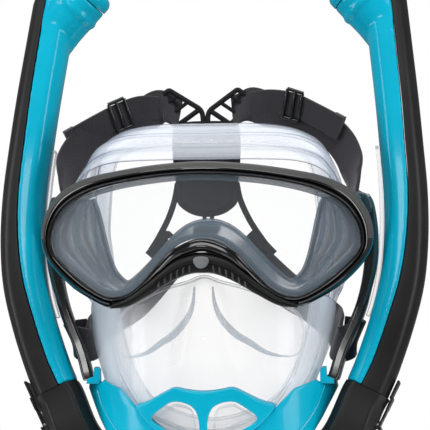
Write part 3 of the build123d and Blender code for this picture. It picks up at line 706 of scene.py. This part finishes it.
# ------------------------ tubes
def tube_stations(steps=6):
    """Centre, outward, backward and seam offset along the right tube."""
    path = catmull(TUBE_PATH, steps)
    stations = []
    for i, row in enumerate(path):
        along = Vector(path[min(i + 1, len(path) - 1)][:3]) - Vector(path[max(i - 1, 0)][:3])
        along = PLUG_AXIS.copy() if i == 0 else along.normalized()
        outward = (Vector((1, 0, 0)) - along * along.x).normalized()
        stations.append((Vector(row[:3]), outward, along.cross(outward), row[3]))
    return stations


def section_rows(polygon, stations, rounding):
    """The section at each station, its corners rounded by the given lengths."""
    rows = []
    for centre, outward, backward, edge in stations:
        points = [Vector((u, v, 0)) for u, v in polygon(edge)]
        ring = []
        for i, p in enumerate(points):
            before, after = points[i - 1], points[(i + 1) % len(points)]
            cut = rounding[i]
            a = p + (before - p).normalized() * cut
            b = p + (after - p).normalized() * cut
            for t in (0, 0.25, 0.5, 0.75, 1):
                ring.append(a.lerp(p, t).lerp(p.lerp(b, t), t) if cut else p)
        rows.append([centre + outward * q.x + backward * q.y for q in ring])
    return rows


def crown_limit(points):
    """Draws the top of the tube in to its rounded crown."""
    out = []
    for p in points:
        x, z = p[0] - CROWN_CENTRE[0], p[2] - CROWN_CENTRE[1]
        distance = math.hypot(x, z)
        if z > 6 and distance > CROWN_R:
            x, z = x * CROWN_R / distance, z * CROWN_R / distance
            out.append((CROWN_CENTRE[0] + x, p[1], CROWN_CENTRE[1] + z))
        else:
            out.append(tuple(p))
    return out


def cylinder(build, start, end, radius, taper=1.0, turns=48, steps=8):
    axis = (end - start).normalized()
    side = axis.cross(Vector((0, 1, 0))).normalized()
    other = axis.cross(side)
    rows = []
    for t in np.linspace(0, 1, steps):
        r = radius * (1 + (taper - 1) * t)
        ring = [start.lerp(end, t) + (side * math.cos(a) + other * math.sin(a)) * r
                for a in np.linspace(0, 2 * math.pi, turns, endpoint=False)]
        rows.append(ring)
    return build.grid(rows, close_v=True, caps=True)


def helper_object(build):
    """A short-lived object for modifiers to work on, in millimetres."""
    mesh = bpy.data.meshes.new("helper")
    mesh.from_pydata(build.verts, [], build.faces)
    bm = bmesh.new()
    bm.from_mesh(mesh)
    bmesh.ops.recalc_face_normals(bm, faces=bm.faces)
    bm.to_mesh(mesh)
    bm.free()
    return new_object("helper", mesh)


def applied(holder):
    """The mesh that an object's modifiers make, as plain points and faces."""
    made = evaluated_mesh(holder)
    out = Build().add([tuple(v.co) for v in made.vertices], [list(p.vertices) for p in made.polygons])
    bpy.data.objects.remove(holder)
    bpy.data.meshes.remove(made)
    return out


def fused(build, voxel, smoothing):
    """Fuses the overlapping shapes into one smooth skin."""
    holder = helper_object(build)
    fuse = holder.modifiers.new("fuse", "REMESH")
    fuse.mode = "VOXEL"
    fuse.voxel_size = voxel
    soften = holder.modifiers.new("soften", "SMOOTH")
    soften.iterations = smoothing
    soften.factor = 0.5
    return applied(holder)


def hollowed(build, cutter):
    """Cuts the float's chamber out of a closed skin."""
    holder = helper_object(build)
    tool = helper_object(cutter)
    hollow = holder.modifiers.new("hollow", "BOOLEAN")
    hollow.operation = "DIFFERENCE"
    hollow.solver = "EXACT"
    hollow.object = tool
    out = applied(holder)
    bpy.data.objects.remove(tool)
    return out


def snorkel_tubes():
    """Teal body with the float's chamber hollowed out, black spine behind it, and the cap."""
    stations = tube_stations()
    body = lambda edge: [(edge, -13), (-8.3, -12.2), (-12.6, -4.5), (-12.6, 5), (-8, 12.5), (edge, 13.5)]
    spine = lambda edge: [(edge + 0.25, -13), (7.5, -12.2), (11.2, -6), (11.5, 3), (8.0, 12.2),
                          (edge + 0.25, 13.5)]
    rows = section_rows(body, stations[:-TOP_CUT], [0.5, 3.5, 3.0, 3.0, 3.5, 0.5])
    shell = Build().grid([crown_limit(r) for r in rows], close_v=True, caps=True)
    axis = (CANISTER_END - CANISTER_START).normalized()
    seam = CANISTER_END - axis * CAP_LENGTH
    cylinder(shell, CANISTER_START, seam, CANISTER_R)
    cylinder(shell, CANISTER_START + Vector((3, -1, -13)), seam - axis * 9, CANISTER_R - 5, 1.42)
    rib = CANISTER_START.lerp(seam, 0.62)
    cylinder(shell, rib, rib + axis * 3.0, CANISTER_R + 0.9)
    skin = fused(shell, voxel=0.8, smoothing=12)
    for i, vert in enumerate(skin.verts):
        point = Vector(vert)
        centre, outward, _, edge = min(stations, key=lambda s: abs(s[0].z - vert[2]))
        skin.verts[i] = tuple(point - outward * max(0.0, (point - centre).dot(outward) - edge))
    chamber = cylinder(Build(), seam - axis * CHAMBER_BELOW, seam + axis * CHAMBER_PAST, CHAMBER_R)
    skin = hollowed(skin, chamber)
    both(skin, "tube_body", "snorkel", MAT["teal"], "teal", "tube", smooth_angle=70)
    rows = section_rows(spine, stations[:-TOP_CUT], [0.6, 3.0, 2.5, 2.5, 3.0, 0.6])
    back = Build().grid([crown_limit(r) for r in rows], close_v=True, caps=True)
    both(back, "tube_back_band", "snorkel", MAT["matte_black"], "spine_black", "tube_spine", smooth_angle=70)
    head_caps(axis, seam)


def head_caps(axis, seam):
    """Rounded cap with radial water slots past the oblique seam."""
    side = axis.cross(Vector((0, 1, 0))).normalized()
    other = axis.cross(side)
    profile = [(0.3, 5.3), (6.0, 5.3), (CHAMBER_R - 0.3, 5.3), (CHAMBER_R, 4.9), (CHAMBER_R, 0.3),
               (14.0, 0.2), (14.8, 0.3), (15.0, 0.8), (15.0, 3.4), (14.8, 4.6), (14.1, 6.0), (13.0, 7.1),
               (11.6, 7.8), (10.6, 8.0), (9.8, 7.9), (9.3, 7.5), (8.0, 7.3), (5.0, 7.3), (3.0, 7.4), (2.0, 7.8),
               (0.3, 8.0)]
    slots, slot_depth, turns = 6, 1.5, 96
    rows = []
    for radius, height in profile:
        ring = []
        for k in range(turns):
            angle = 2 * math.pi * k / turns
            in_slot = math.cos(slots * angle) > 0.55 and 3.2 < radius < 9.0 and height > 7.0
            drop = slot_depth if in_slot else 0.0
            spoke = side * math.cos(angle) + other * math.sin(angle)
            ring.append(seam + axis * (height - drop) + spoke * radius)
        rows.append(ring)
    cap = Build().grid(rows, close_v=True, caps=True)
    both(cap, "float_cap", "snorkel", MAT["teal"], "teal", "head_cap")


def latch_levers():
    """Stepped release lever outside each sleeve, in the sleeve's axes: outwards, backwards, up the plug."""
    origin, outward, backward, _ = tube_stations()[0]
    shapes = Build()
    for low, high in (((12.3, -6.5, 0.4), (13.7, 6.5, 11)), ((13.15, -6.5, -6), (14.5, 6.5, 1.6)),
                      ((13.15, -4.4, -17.1), (14.5, 4.4, -5.5)), ((14.3, -6.5, -31), (15.7, 6.5, -15.5)),
                      ((15.5, -5.2, -29), (16.2, 5.2, -27.4)), ((15.5, -5.2, -25.6), (16.2, 5.2, -24)),
                      ((15.5, -5.2, -22.2), (16.2, 5.2, -20.6))):
        corners = [origin + outward * u + backward * v + PLUG_AXIS * s
                   for s in (low[2], high[2]) for v in (low[1], high[1]) for u in (low[0], high[0])]
        shapes.add(corners, [(0, 1, 3, 2), (4, 6, 7, 5), (0, 4, 5, 1),
                             (2, 3, 7, 6), (0, 2, 6, 4), (1, 5, 7, 3)])
    boss = origin + outward * PIN_OUT + PLUG_AXIS * PIN_UP
    cylinder(shapes, boss - backward * 4.4, boss + backward * 4.4, 1.25, turns=20, steps=2)
    for lever in both(shapes, "release_lever", "latch_lever", MAT["matte_black"], "spine_black", "latch"):
        round_off = lever.modifiers.new("edges", "BEVEL")
        round_off.width = 0.35 * MM
        round_off.segments = 2
        apply_modifiers(lever)


# ------------------------ straps and harness
def corners_of(*points):
    """A ring's corners with a point close before and after each, so that rounding keeps them tight."""
    out = []
    for i, point in enumerate(points):
        here = Vector(point)
        before, after = Vector(points[i - 1]), Vector(points[(i + 1) % len(points)])
        out += [here + (before - here).normalized() * 2.4, here, here + (after - here).normalized() * 2.4]
    return [tuple(q) for q in out]


def ribbon(build, route, half_width, half_thick, steps=8):
    """Webbing along a route of places and width directions, with softly rounded edges."""
    rows = []
    path = catmull([(*point, *Vector(width).normalized()) for point, width in route], steps)
    for i, row in enumerate(path):
        along = Vector(path[min(i + 1, len(path) - 1)][:3]) - Vector(path[max(i - 1, 0)][:3])
        along.normalize()
        across = Vector(row[3:])
        across = (across - along * across.dot(along)).normalized()
        normal = along.cross(across)
        section = [(1, 0.5), (0.96, 1), (0.5, 1.0), (0, 1.02), (-0.5, 1.0), (-0.96, 1), (-1, 0.5),
                   (-1, -0.5), (-0.96, -1), (-0.5, -1.0), (0, -1.02), (0.5, -1.0), (0.96, -1), (1, -0.5)]
        rows.append([Vector(row[:3]) + across * half_width * a + normal * half_thick * b for a, b in section])
    return build.grid(rows, close_v=True, caps=True)


def strap_piece(shapes, name, node):
    strap = shapes.piece(name, "mask", MAT["webbing"], "webbing", [node], 50)


def upper_straps():
    """Webbing from each temple lug to its buckle loop, with the tail folded back over it."""
    right = [((77.9, 16, 13), (-0.15, 0.99, 0)), ((77.9, 16, 22), (-0.15, 0.99, 0)),
             ((77.4, 19, 33), (-0.4, 0.9, 0.1)), ((75.0, 25, 44), (-0.7, 0.7, 0.05)),
             ((68.5, 31, 54.0), (-0.75, 0.5, -0.5)), ((56, 37, 63.5), (-0.4, 0.3, -0.85)),
             ((43, 41.5, 68.5), (-0.2, 0.2, -0.95)), ((30, 44.5, 70.5), (-0.3, 0.1, -0.95)),
             ((19, 48, 73.5), (-0.55, 0, -0.83)), ((9, 53.5, 69.5), (-0.5, 0, -0.86))]
    left = [((-77.9, 16, 13), (0.15, 0.99, 0)), ((-77.9, 16, 22), (0.15, 0.99, 0)),
            ((-78.2, 19, 33), (0.4, 0.9, 0.1)), ((-76.8, 25, 45), (0.75, 0.65, 0.05)),
            ((-69.5, 31, 55.0), (0.75, 0.5, -0.5)), ((-58, 37, 61.5), (0.4, 0.3, -0.85)),
            ((-47, 41.5, 66.0), (0.2, 0.2, -0.95)), ((-38, 45, 69.5), (0.45, 0.1, -0.88)),
            ((-30, 48.3, 73.0), (0.6, 0, -0.8)), ((-21, 53.5, 68.5), (0.55, 0, -0.83))]
    right_tail = [((21, 46.5, 74), (-0.4, 0.1, -0.9)), ((32, 43, 75), (-0.1, 0.2, -0.95)),
                  ((44, 38.5, 73), (-0.3, 0.3, -0.9)), ((57, 33, 67), (-0.5, 0.4, -0.75)),
                  ((70, 27, 60), (-0.6, 0.4, -0.65))]
    left_tail = [((-32, 46.5, 72), (0.5, 0.1, -0.85)), ((-42, 43, 72.5), (0.2, 0.2, -0.95)),
                 ((-52, 38.5, 69), (0.4, 0.3, -0.85)), ((-64, 33, 63), (0.45, 0.4, -0.75)),
                 ((-79, 27, 54.5), (0.5, 0.4, -0.7))]
    for side, main, tail in (("right", right, right_tail), ("left", left, left_tail)):
        shapes = ribbon(Build(), main, STRAP_HALF_WIDTH, STRAP_HALF_THICK)
        ribbon(shapes, tail, TAIL_HALF_WIDTH, 0.9)
        end, width = Vector(tail[-1][0]), tail[-1][1]
        along = (end - Vector(tail[-2][0])).normalized()
        hem = [(tuple(end + along * offset), width) for offset in (-5.5, -2, 0.6)]
        ribbon(shapes, hem, 7.0, 1.9, 4)
        strap_piece(shapes, f"{side}_brow_strap", f"{side}_upper_strap")
        slider(side, tail)


def slider(side, tail):
    """Ladder buckle that holds the strap's two layers."""
    shapes = Build()
    centre = Vector(tail[2][0])
    along = (Vector(tail[3][0]) - Vector(tail[1][0])).normalized()
    aside = Vector(tail[2][1])
    aside = (aside - along * aside.dot(along)).normalized()
    out = along.cross(aside)
    if out.y > 0:
        out = -out
    for offset in (-4.5, 0.5, 5.0):
        a = centre + along * offset + aside * 8.2 + out * 1.4
        b = centre + along * offset - aside * 8.2 + out * 1.4
        shapes.wire([a, a.lerp(b, 0.1), a.lerp(b, 0.5) + out * 0.5, a.lerp(b, 0.9), b], 0.95)
    for edge in (-8.2, 8.2):
        a = centre + along * -4.5 + aside * edge + out
        b = centre + along * 5.0 + aside * edge + out
        shapes.wire([a, a.lerp(b, 0.5), b], 1.05)
    shapes.piece(f"{side}_strap_slider", "mask", MAT["gloss_black"], "frame_black")


def lower_straps():
    """Webbing that comes forward from the harness and folds round behind the rail."""
    backs = {"right": [((18.5, 54.1, -12.5), (0.66, 0, 0.75)), ((38, 56.3, -31), (0.64, 0, 0.77)),
                       ((51, 52, -38.5), (0.5, 0.3, 0.8))],
             "left": [((27.0, 54.1, -13.5), (0.7, 0, 0.7)), ((44, 56.3, -33), (0.66, 0, 0.75)),
                      ((53, 51, -41), (0.5, 0.3, 0.8))]}
    front = [((62, 43, -46), (0.4, 0.3, 0.85)),
             ((66.5, 30, -50), (0.3, 0.1, 0.95)), ((67, 20, -55), (0.3, 0, 0.95)),
             ((69.5, 15.2, -56.5), (0.35, 0, 0.93)), ((75.0, 15.6, -54.5), (0.4, 0, 0.9)),
             ((78.6, 19, -53), (0.4, 0, 0.9)), ((76, 25, -52.5), (0.4, 0, 0.9)),
             ((70.5, 27, -52), (0.35, 0, 0.93))]
    for side, back in backs.items():
        shapes = ribbon(Build(), back + front, STRAP_HALF_WIDTH if side == "right" else 9.0, STRAP_HALF_THICK)
        shapes = shapes if side == "right" else shapes.mirrored()
        strap_piece(shapes, f"{side}_cheek_strap", f"{side}_lower_strap")


def harness():
    """Moulded head pad with two buckle loops above and two button tabs below."""
    shapes = Build()
    edge = [(0, 64.5), (10, 64.2), (17.5, 62), (19, 56), (18.8, 42), (17.4, 29), (17.2, 22), (15.8, 17.4),
            (9, 12.6), (0, 10.9)]
    outline = catmull(loop(edge), 4, True)
    shapes.plate([[(HARNESS_X + x, z) for x, z in outline]], PAD_Y, PAD_THICK, 0.9)
    shapes.plate([[(HARNESS_X + x, z) for x, z in inset(outline, 3.0)]], PAD_Y - 0.7, 1.6, 0.6)
    centre_y = PAD_Y + PAD_THICK / 2
    for x in (-1.8, 2.4):
        shapes.wire([(HARNESS_X + x, centre_y, 13), (HARNESS_X + x, centre_y, 6.5)], 1.2)
    arms = [[(-16.5, 30), (-18.6, 20), (-22.5, 9.5), (-28.5, -1.5), (-32.5, -7.5)],
            [(16.5, 30), (18.6, 20), (23.5, 9), (29.5, -0.5), (35, -8.0)]]
    for route in arms:
        line = catmull([(HARNESS_X + x, z) for x, z in route], 5)
        shapes.wire([(x, centre_y, z) for x, z in line], 1.7, flat=0.8)
    for side, (x, z) in ((-1, (-25.5, -5.6)), (1, (28.5, -5.7))):
        angle = math.radians(-side * 47)
        corners = [(-9, -5.2), (9, -5.2), (9, 3.4), (7.4, 5.2), (-9, 5.2)]
        if side > 0:
            corners = [(-9, 5.2), (-9, -5.2), (7.4, -5.2), (9, -3.4), (9, 5.2)][::-1]
        cos, sin = math.cos(angle), math.sin(angle)
        turned = [(HARNESS_X + x + u * cos - w * sin, z + u * sin + w * cos) for u, w in corners]
        hole = [(HARNESS_X + x + 5.5 * cos + 0.9 * math.cos(k), z + 5.5 * sin + 0.9 * math.sin(k))
                for k in np.linspace(0, 2 * math.pi, 12, endpoint=False)]
        shapes.plate([turned, hole], PAD_Y, PAD_THICK, 0.35)
    loops = {-1: [(-26.5, 82.0), (-36.8, 73.9), (-21.5, 62.6), (-9.2, 71.2)],
             1: [(12.0, 81.8), (22.6, 74.2), (7.5, 62.6), (-3.8, 70.4)]}
    stems = {-1: [(-9.4, 71.2), (-7.7, 68.6), (-7.4, 60)], 1: [(-3.6, 70.4), (-5.0, 67.8), (-4.9, 60)]}
    for side, (peak, far, low, near) in loops.items():
        ring = round_corners([(x, centre_y, z) for x, z in corners_of(peak, far, low, near)], True)
        shapes.wire(ring, LOOP_ROD_R, closed=True, flat=1.1)
        stem = round_corners([(x, centre_y, z) for x, z in stems[side]], False)
        shapes.wire(stem, LOOP_ROD_R, flat=1.1)
        for share in (0.28, 0.62):
            a = Vector((*peak, 0)).lerp(Vector((*near, 0)), share)
            b = Vector((*far, 0)).lerp(Vector((*low, 0)), share)
            shapes.wire([(a.x, centre_y, a.y), (b.x, centre_y, b.y)], 1.1)
    pad = shapes.piece("head_harness", "mask", MAT["black_rubber"], "pad_black", ["harness_pad"])


def temple_lugs():
    """Smoky lug behind each temple, its edge running down the outside of the rail."""
    shapes = Build()
    block = [(79.5, 15.2), (79.5, 27.2), (82.0, 25.6), (84.6, 24.6), (86.6, 22.6), (87.9, 18.0), (86.4, 15.2)]
    shapes.plate([block], 6.5, 14.0, 0.9)
    shapes.plate([[(79.4, 15.3), (79.4, 27.0), (82.4, 24.0), (82.4, 15.3)]], -11.5, 18.0, 0.7)
    edge = catmull([(85.0, 10, 24.0), (87.2, 12, 18.9), (88.9, 12.5, 7.5), (89.2, 12.5, -3), (88.2, 12.5, -14),
                    (85.6, 12, -25), (81.6, 10.5, -36)], 6)
    shapes.wire(edge, 1.6, flat=1.7)
    shapes.wire([(77.9, 4.5, 21.5), (79.6, 2.5, 21.5), (80.6, 0.0, 21.5)], 2.4)
    both(shapes, "temple_lug", "mask", MAT["temple"], "teal", "strap_anchor")


# ------------------------ carried-over CAD nodes
def finish_cad_nodes():
    looks = {"side_rail": "gloss_black", "tube_socket": "matte_black",
             "latch_pin": "steel", "tube_plug": "matte_black", "plug_ring": "white_rubber", "float": "grey",
             "float_seat": "white_rubber", "tube_strip": "silicone"}
    for node, look in looks.items():
        for side in ("left", "right"):
            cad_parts[f"{side}_{node}"].data.materials[0] = MAT[look]
    single = {"chin_junction": "matte_black", "purge_seat": "grey", "purge_membrane": "white_rubber",
              "purge_cover": "black_rubber"}
    for node, look in single.items():
        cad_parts[node].data.materials[0] = MAT[look]


# ------------------------ studio
def look_from(azimuth, elevation, distance, target):
    """A place seen from the target, and the direction back to it; angles in degrees."""
    azimuth, elevation = math.radians(azimuth), math.radians(elevation)
    back = Vector((math.sin(azimuth) * math.cos(elevation), -math.cos(azimuth) * math.cos(elevation),
                   math.sin(elevation)))
    return Vector(target) + back * distance, back


def studio():
    """Camera, pale floor, soft lights and an even white surround."""
    roll = math.radians(CAMERA_ROLL)
    place, back = look_from(CAMERA_AZIMUTH, CAMERA_ELEVATION, CAMERA_DISTANCE, CAMERA_TARGET)
    right = Vector((0, 0, 1)).cross(back).normalized()
    up = back.cross(right)
    turned_right = right * math.cos(roll) - up * math.sin(roll)
    turned_up = right * math.sin(roll) + up * math.cos(roll)
    camera = new_object("camera", bpy.data.cameras.new("camera"))
    turn = Matrix((turned_right, turned_up, back)).transposed().to_4x4()
    camera.matrix_world = Matrix.Translation(place) @ turn
    camera.data.sensor_width = 36.0
    camera.data.lens = CAMERA_LENS
    bpy.context.scene.camera = camera

    floor_mesh = bpy.data.meshes.new("floor")
    rim = [(FLOOR_RADIUS * math.cos(a), FLOOR_Y + FLOOR_RADIUS * math.sin(a), 0)
           for a in np.linspace(0, 2 * math.pi, 96, endpoint=False)]
    floor_mesh.from_pydata(rim, [], [list(range(96))])
    floor = new_object("floor", floor_mesh)
    floor.location.z = cad_box[0].z - 0.0005
    pale = new_material("pale_floor", (0.86, 0.86, 0.86), 0.7)
    shader = pale.node_tree.nodes["Principled BSDF"]
    shader.inputs["Emission Color"].default_value = (1, 1, 1, 1)
    shader.inputs["Emission Strength"].default_value = 0.5
    floor_mesh.materials.append(pale)

    for name, azimuth, elevation, distance, size, power in (
            ("left_soft", -66, 12, 0.9, (0.25, 0.9), 4.4), ("right_soft", 66, 12, 0.9, (0.25, 0.9), 4.4),
            ("top_soft", 0, 68, 0.9, (0.9, 0.3), 4.0), ("front_soft", -8, 30, 1.4, (0.3, 0.3), 3.2),
            ("back_soft", 180, 35, 1.1, (0.9, 0.6), 3.0)):
        lamp = bpy.data.lights.new(name, "AREA")
        lamp.shape = "RECTANGLE"
        lamp.size, lamp.size_y = size
        lamp.energy = power
        light = new_object(name, lamp)
        light.location, direction = look_from(azimuth, elevation, distance, LIGHT_TARGET)
        light.rotation_euler = direction.to_track_quat("Z", "Y").to_euler()

    world = bpy.data.worlds.new("studio")
    bpy.context.scene.world = world
    world.use_nodes = True
    nodes, links = world.node_tree.nodes, world.node_tree.links
    background = nodes["Background"]
    ray = nodes.new("ShaderNodeLightPath")
    spread = nodes.new("ShaderNodeMapRange")
    spread.inputs["To Min"].default_value = 0.2
    spread.inputs["To Max"].default_value = 1.0
    links.new(ray.outputs["Is Camera Ray"], spread.inputs["Value"])
    links.new(spread.outputs["Result"], background.inputs["Strength"])
    background.inputs["Color"].default_value = (1, 1, 1, 1)
    bpy.context.scene.view_settings.view_transform = "Standard"
    bpy.context.scene.cycles.transparent_max_bounces = 24


studio()
goggle_frame()
nose_bridge()
lens_parts()
face_skirt()
eye_wall()
orinasal_pocket()
lower_face()
exhale_flaps()
snorkel_tubes()
latch_levers()
upper_straps()
lower_straps()
temple_lugs()
harness()
finish_cad_nodes()
